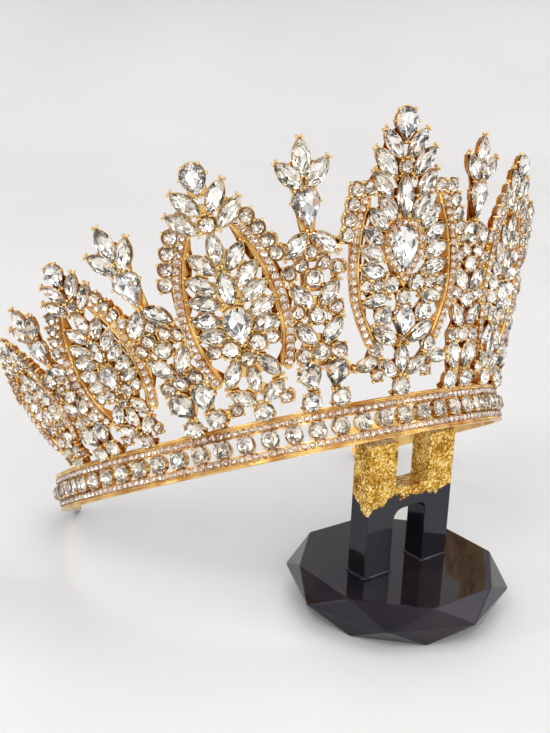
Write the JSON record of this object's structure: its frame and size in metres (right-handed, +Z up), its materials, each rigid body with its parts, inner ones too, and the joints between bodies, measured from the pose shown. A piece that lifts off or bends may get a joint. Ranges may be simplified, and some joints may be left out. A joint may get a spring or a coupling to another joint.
{
  "type": "pageant crown on display stand",
  "caption": "Tall open-back pageant crown of gilt metal and clear crystals, leaning on a small two-post display stand with a faceted base.",
  "frame": {"origin": "centre of the bounding box, on the table under the stand", "axes": "+Z up, -Y is the front of the crown, +X is the wearer's left as seen from the front right"},
  "size_m": [0.1898, 0.1422, 0.1502],
  "materials": {
    "gilt_metal": "polished warm gilt casting",
    "crystal": "clear foiled crystal, faceted",
    "black_resin": "glossy black cast resin",
    "amber_resin": "cast resin, black below and clear amber with gold flakes above"
  },
  "bodies": {
    "root": {"crown_frame": "gilt_metal", "band_stones": "crystal", "centre_stones": "crystal", "centre_top_pear": "crystal", "centre_heart_pear": "crystal", "centre_drop_pear": "crystal", "finial_1_left_stones": "crystal", "finial_1_right_stones": "crystal", "finial_1_left_pear": "crystal", "finial_1_right_pear": "crystal", "arch_1_left_stones": "crystal", "arch_1_right_stones": "crystal", "arch_1_left_top_pear": "crystal", "arch_1_right_top_pear": "crystal", "arch_1_left_heart_pear": "crystal", "arch_1_right_heart_pear": "crystal", "finial_2_left_stones": "crystal", "finial_2_right_stones": "crystal", "finial_2_left_pear": "crystal", "finial_2_right_pear": "crystal", "arch_2_left_stones": "crystal", "arch_2_right_stones": "crystal", "arch_2_left_top_pear": "crystal", "arch_2_right_top_pear": "crystal", "arch_2_left_heart_pear": "crystal", "arch_2_right_heart_pear": "crystal", "finial_3_left_stones": "crystal", "finial_3_right_stones": "crystal", "finial_3_left_pear": "crystal", "finial_3_right_pear": "crystal", "arch_3_left_top_pear": "crystal", "arch_3_right_top_pear": "crystal", "arch_3_left_heart_pear": "crystal", "arch_3_right_heart_pear": "crystal", "stand_base": "black_resin", "stand_posts": "amber_resin"}
  },
  "joints": []
}
